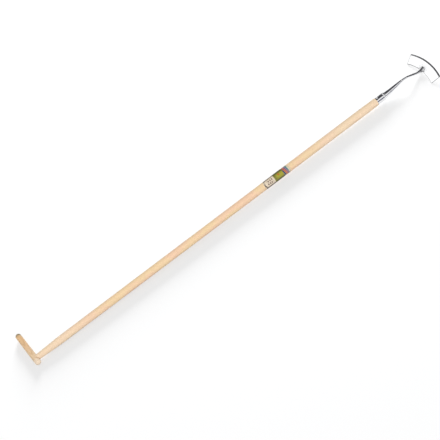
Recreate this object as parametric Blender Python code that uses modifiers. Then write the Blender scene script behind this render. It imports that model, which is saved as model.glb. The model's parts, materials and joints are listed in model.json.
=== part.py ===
"""A Dutch hoe: a long ash shaft with a one-sided cross grip, and a stainless steel push-hoe head.

The shaft runs along +X from the grip to the head, the grip's long arm points to +Y, and +Z is the top
of the tool. The pieces are placed from the crossing of the shaft's and the grip's axes. The whole tool
is then laid on the floor, on the blade's two back corners and the shaft.
"""

import math

import bmesh
import bpy
from mathutils import Vector

# Lengths are in metres.
FIT_GAP = 0.0003

# The shaft, with its distances from the grip's axis to the rear edge of the ferrule.
SHAFT_REACH = 1.430
SHAFT_GRIP_RADIUS = 0.0102
SHAFT_REAR_RADIUS = 0.0133
SHAFT_FRONT_RADIUS = 0.0143
SHAFT_SHOULDER_RADIUS = 0.0138
GRIP_TAPER_LENGTH = 0.110
HEAD_TAPER_LENGTH = 0.060
SPIGOT_LENGTH = 0.064

# The cross grip, its blind mortise and what holds the tenon in it.
GRIP_RADIUS = 0.0104
GRIP_TIP_RADIUS = 0.0098
GRIP_LONG_ARM = 0.130
GRIP_SHORT_ARM = 0.027
GRIP_DOME_LENGTH = 0.010
TENON_RADIUS = 0.0066
TENON_REACH = 0.0060
TENON_ROOT = 0.0120
WEDGE_LENGTH = 0.0120
WEDGE_WIDTH = 0.0110
WEDGE_THICK_END = 0.0024
WEDGE_THIN_END = 0.0010
NAIL_RADIUS = 0.0010
NAIL_HEAD_RADIUS = 0.0022
NAIL_HEAD_THICKNESS = 0.0009
NAIL_LENGTH = 0.0170
NAIL_OFFSET = 0.0040

# The sticker on the shaft.
LABEL_CENTRE = 0.997
LABEL_LENGTH = 0.107
LABEL_THICKNESS = 0.0003
LABEL_WRAP = math.radians(82)
LABEL_FACING = math.radians(49)
LABEL_END_LENGTH = 0.010

# The head's sheet metal, with distances from the ferrule's rear edge.
SHEET = 0.0012
FERRULE_RADIUS = 0.0134
FERRULE_LENGTH = 0.037
FERRULE_BEAD_LENGTH = 0.0080
FERRULE_BEAD_RISE = 0.0005
SKIRT_SETBACK = 0.0015
CONE_BASE_RADIUS = 0.0112
CONE_BELLY = 0.0005
SOCKET_LENGTH = 0.1120
SOCKET_TIP_RADIUS = 0.0052
RIVET_RADIUS = 0.0016
RIVET_HEAD_RADIUS = 0.0028
RIVET_HEAD_RISE = 0.0011
RIVET_SETBACK = 0.0068

# The neck rod's route: straight stretches between corners, each turned on its own radius.
NECK_RADIUS = 0.0040
NECK_INSIDE = 0.022
NECK_NOSE_LENGTH = 0.0035
SOCKET_BEND_START = 0.058
CREST_DISTANCE = 0.128
CREST_RISE = 0.0100
FOOT_RUN = 0.0333
FOOT_TIP_BACK = 0.0085
SOCKET_BEND_RADIUS = 0.150
CREST_BEND_RADIUS = 0.070
TROUGH_BEND_RADIUS = 0.026

# The flared foot on the blade, its distances back from the blade's front chord.
FLARE_THICKNESS = 0.0024
FLARE_HALF_WIDTH = 0.0122
FLARE_END_INSET = 0.0008
FLARE_REAR_BACK = 0.0300
FLARE_WIDE_BACK = 0.0215
FLARE_FRONT_BACK = 0.0105
FLARE_BLUNT_LENGTH = 0.0010
FLARE_BLUNT_DROP = 0.0005
ROD_LIFT = 0.0003

# The weld beads.
BEAD_RADIUS = 0.0013
BEAD_RIPPLE = 0.12
BEAD_RIPPLES = 5
BEAD_END_SHARE = 0.08
BEAD_END_POWER = 6
RING_BEAD_RADIUS = 0.0012

# The blade: a band of constant depth on one arc, pitched up against the shaft.
BLADE_WIDTH = 0.160
BLADE_RADIUS = 0.2325
BLADE_DEPTH = 0.038
BLADE_THICKNESS = 0.0020
BEVEL_WIDTH = 0.0055
EDGE_THICKNESS = 0.0004
BLADE_PITCH = math.radians(27)
BLADE_REACH = 0.2167
BLADE_DROP = 0.0008

# How finely round shapes are cut.
ROUND_STEPS = 36
SMALL_STEPS = 20
BLADE_STEPS = 40
SPIGOT_STEPS = 8
GRIP_TAPER_STEPS = 9
HEAD_TAPER_STEPS = 5
GRIP_ARM_STEPS = 7
DOME_STEPS = 5
ROLL_STEPS = 5
SOCKET_STEPS = 13
SOCKET_ROUNDNESS = 14
NECK_STEPS = 43
NECK_ROUNDNESS = 8
BEAD_ROUNDNESS = 3
RIPPLE_STEPS = 6
RING_STEPS = 12
LABEL_ROWS = 9
LABEL_COLUMNS = 17
SUPPORT_STEPS = 199
BEND_STEP = math.radians(2)
SMOOTH_ANGLE = math.radians(35)
MERGE_DISTANCE = 0.00001
CUT_MARGIN = 0.004

ASH = ((0.80, 0.62, 0.40), 0.50, 0.0)
ASH_DARK = ((0.68, 0.48, 0.28), 0.50, 0.0)
BEECH = ((0.55, 0.35, 0.20), 0.60, 0.0)
STAINLESS = ((0.62, 0.63, 0.65), 0.18, 1.0)
BLADE_STEEL = ((0.78, 0.79, 0.80), 0.30, 1.0)
WELD_STEEL = ((0.42, 0.42, 0.44), 0.45, 1.0)
NAIL_STEEL = ((0.35, 0.35, 0.36), 0.40, 1.0)
PAPER = ((0.55, 0.55, 0.22), 0.40, 0.0)


def clear_scene():
    for obj in list(bpy.data.objects):
        bpy.data.objects.remove(obj, do_unlink=True)


def new_collection(name):
    made = bpy.data.collections.new(name)
    bpy.context.scene.collection.children.link(made)
    return made


def finish_of(name, look):
    colour, roughness, metallic = look
    made = bpy.data.materials.new(name)
    made.use_nodes = True
    shader = made.node_tree.nodes["Principled BSDF"]
    shader.inputs["Base Color"].default_value = (*colour, 1.0)
    shader.inputs["Roughness"].default_value = roughness
    shader.inputs["Metallic"].default_value = metallic
    return made


class Workshop:
    """Holds the tool's frame and its two collections, and puts each object in its place."""

    def __init__(self):
        self.parts = new_collection("dutch_hoe")
        self.cutters = new_collection("cutters")
        self.frame = bpy.data.objects.new("tool_frame", None)
        self.parts.objects.link(self.frame)

    def part(self, obj, look, location=(0, 0, 0), rotation=(0, 0, 0)):
        obj.data.materials.append(finish_of(obj.name + "_finish", look))
        return self.place(obj, self.parts, location, rotation)

    def cutter(self, obj, location=(0, 0, 0), rotation=(0, 0, 0)):
        obj.hide_render = True
        obj.display_type = "WIRE"
        return self.place(obj, self.cutters, location, rotation)

    def place(self, obj, collection, location, rotation):
        collection.objects.link(obj)
        obj.parent = self.frame
        obj.location = location
        obj.rotation_euler = rotation
        return obj


ALONG_SHAFT = (0, math.pi / 2, 0)
ALONG_GRIP = (-math.pi / 2, 0, 0)
# A hole's corners are turned off the corners of the round wall that it goes through.
HOLE_TURN = (0, 0, math.radians(5))


def smooth(mesh):
    mesh.shade_smooth()
    mesh.set_sharp_from_angle(angle=SMOOTH_ANGLE)


def turned(name, outline, steps, closed=False):
    """A turned solid about its local Z, from (radius, height) pairs that run from the top down."""
    mesh = bpy.data.meshes.new(name)
    edges = [(i, i + 1) for i in range(len(outline) - 1)]
    if closed:
        edges.append((len(outline) - 1, 0))
    mesh.from_pydata([(radius, 0, height) for radius, height in outline], edges, [])
    obj = bpy.data.objects.new(name, mesh)
    screw = obj.modifiers.new("turn", "SCREW")
    screw.steps = steps
    screw.render_steps = steps
    screw.use_merge_vertices = True
    screw.merge_threshold = MERGE_DISTANCE
    screw.use_smooth_shade = True
    return obj


def cylinder(name, radius, bottom, top, steps):
    return turned(name, [(0, top), (radius, top), (radius, bottom), (0, bottom)], steps)


def boolean(obj, other, operation="DIFFERENCE"):
    step = obj.modifiers.new(operation.lower() + "_" + other.name, "BOOLEAN")
    step.operation = operation
    step.solver = "EXACT"
    step.object = other


def mesh_from_curve(obj):
    """The curve's surface as a mesh object of the same name, with its end caps welded on."""
    bpy.context.scene.collection.objects.link(obj)
    graph = bpy.context.evaluated_depsgraph_get()
    mesh = bpy.data.meshes.new_from_object(obj.evaluated_get(graph))
    name = obj.name
    bpy.data.objects.remove(obj, do_unlink=True)
    work = bmesh.new()
    work.from_mesh(mesh)
    bmesh.ops.remove_doubles(work, verts=work.verts, dist=MERGE_DISTANCE)
    bmesh.ops.recalc_face_normals(work, faces=work.faces)
    work.to_mesh(mesh)
    work.free()
    smooth(mesh)
    mesh.name = name
    return bpy.data.objects.new(name, mesh)


def swept(name, points, radii, roundness):
    """A round bar along the points, with its own radius at each of them."""
    curve = bpy.data.curves.new(name, "CURVE")
    curve.dimensions = "3D"
    curve.bevel_depth = radii[0]
    curve.bevel_resolution = roundness
    curve.use_fill_caps = True
    spline = curve.splines.new("POLY")
    spline.points.add(len(points) - 1)
    for target, point, radius in zip(spline.points, points, radii):
        target.co = (*point, 1.0)
        target.radius = radius / radii[0]
    return mesh_from_curve(bpy.data.objects.new(name, curve))


def plate(name, outline, thickness):
    """A flat plate in its local XY plane, centred on it."""
    curve = bpy.data.curves.new(name, "CURVE")
    curve.dimensions = "2D"
    curve.fill_mode = "BOTH"
    curve.extrude = thickness / 2
    spline = curve.splines.new("POLY")
    spline.points.add(len(outline) - 1)
    for target, (x, y) in zip(spline.points, outline):
        target.co = (x, y, 0, 1.0)
    spline.use_cyclic_u = True
    return mesh_from_curve(bpy.data.objects.new(name, curve))


def eased(t):
    return 0.5 - 0.5 * math.cos(math.pi * t)


def mixed(low, high, t):
    return low + (high - low) * t


def evenly(low, high, steps):
    """The ends of this many equal steps from low to high."""
    return [mixed(low, high, i / steps) for i in range(steps + 1)]


def quarter_turn(steps=DOME_STEPS):
    return evenly(0, math.pi / 2, steps)


# The route of the head, in the tool's XZ plane from the ferrule's rear edge.


def on_blade(forward, height):
    """The point this far ahead of the blade's front chord and above its top face."""
    along = Vector((math.cos(BLADE_PITCH), math.sin(BLADE_PITCH)))
    up = Vector((-math.sin(BLADE_PITCH), math.cos(BLADE_PITCH)))
    return Vector((BLADE_REACH, -BLADE_DROP)) + along * forward + up * height


def turned_arm(arm, angle):
    """A flat vector turned by an angle."""
    return Vector(
        (
            arm.x * math.cos(angle) - arm.y * math.sin(angle),
            arm.x * math.sin(angle) + arm.y * math.cos(angle),
        )
    )


def bent_route(corners, bends):
    """Points along a bar that runs straight between the corners and turns each on its bend radius."""
    points = [corners[0]]
    for before, corner, after, radius in zip(corners, corners[1:], corners[2:], bends):
        into = (corner - before).normalized()
        out = (after - corner).normalized()
        turn = math.atan2(into.x * out.y - into.y * out.x, into.dot(out))
        start = corner - into * radius * math.tan(abs(turn) / 2)
        centre = start + Vector((-into.y, into.x)) * math.copysign(radius, turn)
        arm = start - centre
        for angle in evenly(0, turn, max(2, math.ceil(abs(turn) / BEND_STEP))):
            points.append(centre + turned_arm(arm, angle))
    return points + [corners[-1]]


ROUTE_LEAD = 0.020
FOOT_HEIGHT = FIT_GAP + ROD_LIFT + NECK_RADIUS
HEAD_ROUTE = bent_route(
    [
        Vector((-ROUTE_LEAD, 0)),
        Vector((SOCKET_BEND_START, 0)),
        Vector((CREST_DISTANCE, CREST_RISE)),
        on_blade(-FOOT_RUN, FOOT_HEIGHT),
        on_blade(-FOOT_TIP_BACK, FOOT_HEIGHT),
    ],
    [SOCKET_BEND_RADIUS, CREST_BEND_RADIUS, TROUGH_BEND_RADIUS],
)
HEAD_ROUTE_LENGTH = sum((b - a).length for a, b in zip(HEAD_ROUTE, HEAD_ROUTE[1:])) - ROUTE_LEAD


def route_at(distance):
    """The route's point this far along it from the ferrule's rear edge, and its direction there."""
    left = distance + ROUTE_LEAD
    for a, b in zip(HEAD_ROUTE, HEAD_ROUTE[1:]):
        step = (b - a).length
        if left <= step or b is HEAD_ROUTE[-1]:
            return a + (b - a) * (left / step), (b - a).normalized()
        left -= step


def route_point(distance):
    point, _ = route_at(distance)
    return (SHAFT_REACH + point.x, 0, point.y)


def skirt_radius():
    return FERRULE_RADIUS - SHEET - FIT_GAP


def socket_radius(distance):
    """The socket's outer radius: a straight skirt under the ferrule, then a slightly bellied cone."""
    if distance <= FERRULE_LENGTH - FERRULE_BEAD_LENGTH:
        return skirt_radius()
    if distance <= FERRULE_LENGTH:
        t = (FERRULE_LENGTH - distance) / FERRULE_BEAD_LENGTH
        return mixed(CONE_BASE_RADIUS, skirt_radius(), t)
    t = (distance - FERRULE_LENGTH) / (SOCKET_LENGTH - FERRULE_LENGTH)
    return mixed(CONE_BASE_RADIUS, SOCKET_TIP_RADIUS, t) + CONE_BELLY * math.sin(math.pi * min(t, 1))


def socket_bore(distance):
    return max(socket_radius(distance) - SHEET, NECK_RADIUS + FIT_GAP)


def spigot_radius(distance):
    """The wood that fills the socket stays straight, so it thins where the socket bends away."""
    point, _ = route_at(distance)
    return socket_bore(distance) - point.y - FIT_GAP


def shaft_radius(distance):
    """The shaft's radius this far from the grip's axis."""
    head_taper_start = SHAFT_REACH - HEAD_TAPER_LENGTH
    if distance < GRIP_TAPER_LENGTH:
        t = max(distance, 0) / GRIP_TAPER_LENGTH
        return mixed(SHAFT_GRIP_RADIUS, SHAFT_REAR_RADIUS, eased(t))
    if distance < head_taper_start:
        t = (distance - GRIP_TAPER_LENGTH) / (head_taper_start - GRIP_TAPER_LENGTH)
        return mixed(SHAFT_REAR_RADIUS, SHAFT_FRONT_RADIUS, t)
    t = (distance - head_taper_start) / HEAD_TAPER_LENGTH
    return mixed(SHAFT_FRONT_RADIUS, SHAFT_SHOULDER_RADIUS, eased(t))


def make_shaft(shop):
    spigot = [
        (spigot_radius(distance), SHAFT_REACH + distance)
        for distance in reversed(evenly(0, SPIGOT_LENGTH, SPIGOT_STEPS))
    ]
    head_taper = reversed(evenly(SHAFT_REACH - HEAD_TAPER_LENGTH, SHAFT_REACH, HEAD_TAPER_STEPS))
    grip_taper = reversed(evenly(0, GRIP_TAPER_LENGTH, GRIP_TAPER_STEPS))
    body = [(shaft_radius(x), x) for x in [*head_taper, *grip_taper]]
    outline = [(0, SHAFT_REACH + SPIGOT_LENGTH), *spigot, *body, (0, 0)]
    shaft = shop.part(turned("shaft", outline, ROUND_STEPS), ASH, rotation=ALONG_SHAFT)
    saddle = cylinder("saddle_cut", GRIP_RADIUS + FIT_GAP, -GRIP_SHORT_ARM, GRIP_SHORT_ARM, ROUND_STEPS)
    boolean(shaft, shop.cutter(saddle, rotation=ALONG_GRIP))
    tenon_end = -TENON_REACH + FIT_GAP
    tenon = cylinder("tenon", TENON_RADIUS, tenon_end, GRIP_RADIUS + TENON_ROOT, SMALL_STEPS)
    boolean(shaft, shop.cutter(tenon, rotation=ALONG_SHAFT), "UNION")
    return shaft


def dome(radius, end, sign):
    """The rounded end of the grip, from its tip to its full radius or the other way."""
    points = [
        (radius * math.sin(a), end + sign * GRIP_DOME_LENGTH * (math.cos(a) - 1))
        for a in quarter_turn()[:-1]
    ]
    return points if sign > 0 else points[::-1]


def make_grip(shop):
    arm_end = GRIP_LONG_ARM - GRIP_DOME_LENGTH
    arm = [
        (mixed(GRIP_TIP_RADIUS, GRIP_RADIUS, eased(t)), mixed(arm_end, GRIP_RADIUS, t))
        for t in evenly(0, 1, GRIP_ARM_STEPS)
    ]
    stub = (GRIP_RADIUS, -GRIP_SHORT_ARM + GRIP_DOME_LENGTH)
    outline = [
        *dome(GRIP_TIP_RADIUS, GRIP_LONG_ARM, 1),
        *arm,
        stub,
        *dome(GRIP_RADIUS, -GRIP_SHORT_ARM, -1),
    ]
    grip = shop.part(turned("grip", outline, ROUND_STEPS), ASH_DARK, rotation=ALONG_GRIP)
    mouth = GRIP_RADIUS + CUT_MARGIN
    mortise = cylinder("mortise_cut", TENON_RADIUS + FIT_GAP, -TENON_REACH, mouth, SMALL_STEPS)
    boolean(grip, shop.cutter(mortise, rotation=ALONG_SHAFT))
    return grip


def wedge_shape(name, clearance):
    """A wedge along X, thick end at -X. Its sloped faces look to Y and its width lies along Z.

    With a clearance it is the slot, which runs right across the tenon.
    """
    mesh = bpy.data.meshes.new(name)
    work = bmesh.new()
    bmesh.ops.create_cube(work, size=1)
    for vert in work.verts:
        thickness = WEDGE_THICK_END if vert.co.x < 0 else WEDGE_THIN_END
        width = 2 * (TENON_RADIUS + CUT_MARGIN) if clearance else WEDGE_WIDTH
        ends = clearance * 2
        vert.co = Vector(
            (
                vert.co.x * (WEDGE_LENGTH + ends),
                vert.co.y * (thickness + ends),
                vert.co.z * width,
            )
        )
    work.to_mesh(mesh)
    work.free()
    return bpy.data.objects.new(name, mesh)


def make_wedge(shop, shaft):
    middle = (-TENON_REACH + FIT_GAP + WEDGE_LENGTH / 2, 0, 0)
    boolean(shaft, shop.cutter(wedge_shape("wedge_cut", FIT_GAP), location=middle))
    return shop.part(wedge_shape("grip_wedge", 0), BEECH, location=middle)


def nail_outline(clearance):
    shank_top = NAIL_LENGTH + clearance
    shank = NAIL_RADIUS + clearance
    head = NAIL_HEAD_RADIUS + clearance
    head_top = NAIL_HEAD_THICKNESS + clearance
    bottom = -CUT_MARGIN if clearance else 0
    outside = [(shank, shank_top), (shank, head_top), (head, head_top), (head, bottom)]
    return [(0, shank_top), *outside, (0, bottom)]


def make_nail(shop, grip, shaft):
    """The nail stands in the grip's underside, beside the wedge, its head just below the surface."""
    place = (0, NAIL_OFFSET, -GRIP_RADIUS + FIT_GAP)
    hole = shop.cutter(turned("nail_cut", nail_outline(FIT_GAP), SMALL_STEPS), location=place)
    boolean(grip, hole)
    boolean(shaft, hole)
    return shop.part(turned("grip_nail", nail_outline(0), SMALL_STEPS), NAIL_STEEL, location=place)


def make_label(shop):
    """A thin sheet bent over the shaft, its ends rounded off, facing up and to -Y."""
    mesh = bpy.data.meshes.new("label")
    work = bmesh.new()
    grid = []
    for across in evenly(-1, 1, LABEL_COLUMNS - 1):
        angle = LABEL_FACING + LABEL_WRAP * across
        half = LABEL_LENGTH / 2 - LABEL_END_LENGTH * (1 - math.sqrt(1 - across**2))
        column = []
        for x in evenly(LABEL_CENTRE - half, LABEL_CENTRE + half, LABEL_ROWS - 1):
            radius = shaft_radius(x) + FIT_GAP + LABEL_THICKNESS / 2
            column.append(work.verts.new((x, -radius * math.cos(angle), radius * math.sin(angle))))
        grid.append(column)
    for left, right in zip(grid, grid[1:]):
        for i in range(LABEL_ROWS - 1):
            work.faces.new((left[i], left[i + 1], right[i + 1], right[i]))
    bmesh.ops.recalc_face_normals(work, faces=work.faces)
    work.to_mesh(mesh)
    work.free()
    mesh.shade_smooth()
    label = shop.part(bpy.data.objects.new("label", mesh), PAPER)
    sheet = label.modifiers.new("sheet", "SOLIDIFY")
    sheet.thickness = LABEL_THICKNESS
    sheet.offset = 0
    return label


def make_ferrule(shop, hole):
    """A drawn collar with a low bead at its front and a lip rolled in to the cone."""
    half_bead = FERRULE_BEAD_LENGTH / 2
    bead_start = FERRULE_LENGTH - FERRULE_BEAD_LENGTH
    bead = [
        (FERRULE_RADIUS + FERRULE_BEAD_RISE * math.sin(math.pi * t), bead_start + t * half_bead)
        for t in evenly(1, 0, ROLL_STEPS)
    ]
    lip_inner = CONE_BASE_RADIUS + FIT_GAP
    lip = [
        (
            mixed(lip_inner, FERRULE_RADIUS, math.sin(angle)),
            bead_start + half_bead * (1 + math.cos(angle)),
        )
        for angle in quarter_turn(ROLL_STEPS)[:-1]
    ]
    inside = [
        (FERRULE_RADIUS - SHEET, 0),
        (FERRULE_RADIUS - SHEET, bead_start),
        (lip_inner, FERRULE_LENGTH - SHEET / 2),
    ]
    outline = [*lip, *bead, (FERRULE_RADIUS, 0), *inside]
    ferrule = turned("ferrule", outline, ROUND_STEPS, closed=True)
    shop.part(ferrule, STAINLESS, location=(SHAFT_REACH + FIT_GAP, 0, 0), rotation=ALONG_SHAFT)
    boolean(ferrule, hole)
    return ferrule


def make_socket(shop, hole):
    skirt = [SKIRT_SETBACK, FERRULE_LENGTH - FERRULE_BEAD_LENGTH, FERRULE_LENGTH]
    stations = skirt + evenly(FERRULE_LENGTH, SOCKET_LENGTH, SOCKET_STEPS)[1:]
    points = [route_point(distance) for distance in stations]
    radii = [socket_radius(distance) for distance in stations]
    socket = swept("socket", points, radii, SOCKET_ROUNDNESS)
    stations = [SKIRT_SETBACK - CUT_MARGIN, *stations[1:], SOCKET_LENGTH + CUT_MARGIN]
    points = [route_point(distance) for distance in stations]
    radii = [socket_bore(distance) for distance in stations]
    bore = swept("socket_bore_cut", points, radii, SOCKET_ROUNDNESS - 1)
    shop.part(socket, STAINLESS)
    boolean(socket, shop.cutter(bore))
    boolean(socket, hole)
    return socket


def make_rivet(shop):
    """A pin right through the ferrule, the skirt and the wood, with a domed head at each end."""
    seat = FERRULE_RADIUS + FIT_GAP
    upper = [
        (RIVET_HEAD_RADIUS * math.sin(a), seat + RIVET_HEAD_RISE * math.cos(a)) for a in quarter_turn()
    ]
    lower = [(radius, -height) for radius, height in reversed(upper)]
    outline = [*upper, (RIVET_RADIUS, seat), (RIVET_RADIUS, -seat), *lower]
    place = (SHAFT_REACH + RIVET_SETBACK, 0, 0)
    return shop.part(turned("ferrule_rivet", outline, SMALL_STEPS), STAINLESS, location=place)


def rivet_hole(shop):
    reach = FERRULE_RADIUS + CUT_MARGIN
    hole = cylinder("rivet_cut", RIVET_RADIUS + FIT_GAP, -reach, reach, SMALL_STEPS)
    return shop.cutter(hole, location=(SHAFT_REACH + RIVET_SETBACK, 0, 0), rotation=HOLE_TURN)


def blade_frame(forward, height):
    """Where a piece that lies in the blade's plane is put, and its pitch."""
    point = on_blade(forward, height)
    return (SHAFT_REACH + point.x, 0, point.y), (0, -BLADE_PITCH, 0)


def flare_outline():
    """The foot's kite shape, its points as (forward, across) from the blade's front chord."""
    end = NECK_RADIUS - FLARE_END_INSET
    half = [
        (-FLARE_REAR_BACK, end),
        (-FLARE_WIDE_BACK - FLARE_BLUNT_LENGTH, FLARE_HALF_WIDTH - FLARE_BLUNT_DROP),
        (-FLARE_WIDE_BACK, FLARE_HALF_WIDTH),
        (-FLARE_WIDE_BACK + FLARE_BLUNT_LENGTH, FLARE_HALF_WIDTH - FLARE_BLUNT_DROP),
        (-FLARE_FRONT_BACK, end),
    ]
    return half[::-1] + [(forward, -across) for forward, across in half]


def make_neck(shop):
    nose_start = HEAD_ROUTE_LENGTH - NECK_NOSE_LENGTH
    stations = evenly(SOCKET_LENGTH - NECK_INSIDE, nose_start, NECK_STEPS)
    radii = [NECK_RADIUS] * len(stations)
    for angle in quarter_turn()[1:-1]:
        stations.append(nose_start + NECK_NOSE_LENGTH * math.sin(angle))
        radii.append(NECK_RADIUS * math.cos(angle))
    neck = swept("neck", [route_point(distance) for distance in stations], radii, NECK_ROUNDNESS)
    shop.part(neck, STAINLESS)
    flare = plate("foot_flare", flare_outline(), FLARE_THICKNESS)
    location, rotation = blade_frame(0, FIT_GAP + FLARE_THICKNESS / 2)
    boolean(neck, shop.cutter(flare, location=location, rotation=rotation), "UNION")
    return neck


def make_blade_weld(shop, name, side):
    """A rippled bead along the front edge of the flared foot, in its corner with the blade."""
    front, wide = [Vector(point) for point in flare_outline()[:2]]
    along = (front - wide).normalized()
    outward = Vector((-along.y, along.x))
    reach = BEAD_RADIUS * (1 + BEAD_RIPPLE) + FIT_GAP
    points, radii = [], []
    for t in evenly(0, 1, BEAD_RIPPLES * RIPPLE_STEPS):
        spot = wide.lerp(front, t) + outward * reach
        points.append((spot.x, side * spot.y, 0))
        end = math.sqrt(max(BEAD_END_SHARE, 1 - abs(2 * t - 1) ** BEAD_END_POWER))
        ripple = 1 + BEAD_RIPPLE * math.cos(2 * math.pi * BEAD_RIPPLES * t)
        radii.append(BEAD_RADIUS * end * ripple)
    bead = swept(name, points, radii, BEAD_ROUNDNESS)
    location, rotation = blade_frame(0, reach)
    return shop.part(bead, WELD_STEEL, location=location, rotation=rotation)


def make_socket_weld(shop):
    """The ring of weld round the rod, against the small end of the socket."""
    ring_radius = NECK_RADIUS + FIT_GAP + RING_BEAD_RADIUS
    outline = [
        (
            ring_radius + RING_BEAD_RADIUS * math.cos(angle),
            RING_BEAD_RADIUS * math.sin(angle),
        )
        for angle in evenly(math.pi / 2, -math.pi * 3 / 2, RING_STEPS)[:-1]
    ]
    distance = SOCKET_LENGTH + FIT_GAP + RING_BEAD_RADIUS
    _, direction = route_at(distance)
    tilt = (0, math.pi / 2 - math.atan2(direction.y, direction.x), 0)
    ring = turned("socket_weld", outline, SMALL_STEPS, closed=True)
    return shop.part(ring, WELD_STEEL, location=route_point(distance), rotation=tilt)


def blade_half_angle():
    return math.asin(BLADE_WIDTH / 2 / BLADE_RADIUS)


def blade_centre_forward():
    """Where the arc's centre lies against the front chord."""
    return -BLADE_RADIUS * math.cos(blade_half_angle())


def make_blade(shop):
    """The band's section, spun along its arc. The front edge is ground to a bevel on top."""
    section = [
        (BLADE_RADIUS - BLADE_DEPTH, 0),
        (BLADE_RADIUS - BEVEL_WIDTH, 0),
        (BLADE_RADIUS, EDGE_THICKNESS - BLADE_THICKNESS),
        (BLADE_RADIUS, -BLADE_THICKNESS),
        (BLADE_RADIUS - BLADE_DEPTH, -BLADE_THICKNESS),
    ]
    half = blade_half_angle()
    mesh = bpy.data.meshes.new("blade")
    work = bmesh.new()
    start = [
        work.verts.new((radius * math.cos(half), -radius * math.sin(half), height))
        for radius, height in section
    ]
    work.faces.new(start)
    bmesh.ops.spin(
        work,
        geom=work.verts[:] + work.edges[:] + work.faces[:],
        cent=(0, 0, 0),
        axis=(0, 0, 1),
        angle=2 * half,
        steps=BLADE_STEPS,
    )
    bmesh.ops.recalc_face_normals(work, faces=work.faces)
    work.to_mesh(mesh)
    work.free()
    location, rotation = blade_frame(blade_centre_forward(), 0)
    return shop.part(bpy.data.objects.new("blade", mesh), BLADE_STEEL, location=location, rotation=rotation)


def lay_on_floor(frame):
    """Lowers and tips the tool until the blade's back corners and the shaft or grip meet the floor."""
    inner_radius = BLADE_RADIUS - BLADE_DEPTH
    corner_forward = blade_centre_forward() + inner_radius * math.cos(blade_half_angle())
    corner = on_blade(corner_forward, -BLADE_THICKNESS)
    corner_x = SHAFT_REACH + corner.x
    along_shaft = evenly(0, SHAFT_REACH, SUPPORT_STEPS)
    supports = [(0, GRIP_RADIUS)] + [(x, shaft_radius(x)) for x in along_shaft]
    slope = max((radius + corner.y) / (corner_x - x) for x, radius in supports)
    tip = math.atan(slope)
    floor_at_grip = corner.y - corner_x * slope
    front = on_blade(blade_centre_forward() + BLADE_RADIUS, -BLADE_THICKNESS)
    front_x = (SHAFT_REACH + front.x) * math.cos(tip) + front.y * math.sin(tip)
    frame.rotation_euler = (0, tip, 0)
    frame.location = (
        -(front_x - GRIP_RADIUS) / 2,
        -(GRIP_LONG_ARM - BLADE_WIDTH / 2) / 2,
        -floor_at_grip * math.cos(tip),
    )


def main():
    clear_scene()
    shop = Workshop()
    hole = rivet_hole(shop)
    shaft = make_shaft(shop)
    grip = make_grip(shop)
    make_wedge(shop, shaft)
    make_nail(shop, grip, shaft)
    boolean(shaft, hole)
    make_label(shop)
    make_ferrule(shop, hole)
    make_socket(shop, hole)
    make_rivet(shop)
    make_neck(shop)
    make_socket_weld(shop)
    make_blade(shop)
    make_blade_weld(shop, "blade_weld_left", 1)
    make_blade_weld(shop, "blade_weld_right", -1)
    lay_on_floor(shop.frame)


main()
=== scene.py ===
"""The looks of a Dutch hoe: the fine surface and finish of each piece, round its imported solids.

The pieces are modelled in the tool's own frame: +X along the shaft from the grip to the head, +Y to the
grip's long arm, and +Z up. Its origin is where the shaft's and the grip's axes cross. Lengths are in
metres and colours in linear RGB.
"""

import json
import math

import bmesh
import bpy
from mathutils import Matrix, Vector, noise

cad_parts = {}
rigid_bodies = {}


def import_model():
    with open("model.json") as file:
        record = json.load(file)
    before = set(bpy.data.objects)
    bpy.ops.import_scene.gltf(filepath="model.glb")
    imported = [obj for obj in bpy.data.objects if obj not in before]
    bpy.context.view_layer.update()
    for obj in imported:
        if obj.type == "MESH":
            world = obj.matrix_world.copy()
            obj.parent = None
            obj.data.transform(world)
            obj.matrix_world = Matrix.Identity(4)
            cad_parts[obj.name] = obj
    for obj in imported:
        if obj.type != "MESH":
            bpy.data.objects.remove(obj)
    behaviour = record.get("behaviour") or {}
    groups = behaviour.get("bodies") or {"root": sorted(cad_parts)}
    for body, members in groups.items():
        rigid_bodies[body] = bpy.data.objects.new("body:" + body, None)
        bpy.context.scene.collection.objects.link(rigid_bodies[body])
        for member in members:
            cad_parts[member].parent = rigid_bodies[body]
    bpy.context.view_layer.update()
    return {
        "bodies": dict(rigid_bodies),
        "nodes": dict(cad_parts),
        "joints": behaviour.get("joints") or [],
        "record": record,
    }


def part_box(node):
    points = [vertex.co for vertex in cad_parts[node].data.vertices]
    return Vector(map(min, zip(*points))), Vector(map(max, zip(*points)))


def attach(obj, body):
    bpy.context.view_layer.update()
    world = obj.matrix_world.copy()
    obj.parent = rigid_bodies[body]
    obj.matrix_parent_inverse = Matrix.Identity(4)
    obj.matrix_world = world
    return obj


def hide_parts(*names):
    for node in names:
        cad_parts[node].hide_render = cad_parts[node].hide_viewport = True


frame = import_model()

# The wood.
SHAFT_GRIP_RADIUS = 0.0102
SHAFT_REAR_RADIUS = 0.0133
SHAFT_FRONT_RADIUS = 0.0143
SHAFT_SHOULDER_RADIUS = 0.0138
SHAFT_EDGE_ROUND = 0.0006
GRIP_TAPER_LENGTH = 0.110
HEAD_TAPER_LENGTH = 0.060
SPIGOT_STUB_LENGTH = 0.030
SPIGOT_RADIUS = 0.0090
GRIP_RADIUS = 0.0104
GRIP_TIP_RADIUS = 0.0098
GRIP_LONG_ARM = 0.130
GRIP_SHORT_ARM = 0.027
GRIP_DOME_LENGTH = 0.010
NAIL_HOLE_RADIUS = 0.0025
NAIL_HOLE_DEPTH = 0.0013
NAIL_OFFSET = 0.0040
JOINT_GAP = 0.0003

# The slight waves that a turning lathe leaves: their depth, and how many go along a metre and round.
TURNING_WAVE = 0.00006
TURNING_WAVES_ALONG = 28
TURNING_WAVES_ROUND = 0.9

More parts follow.
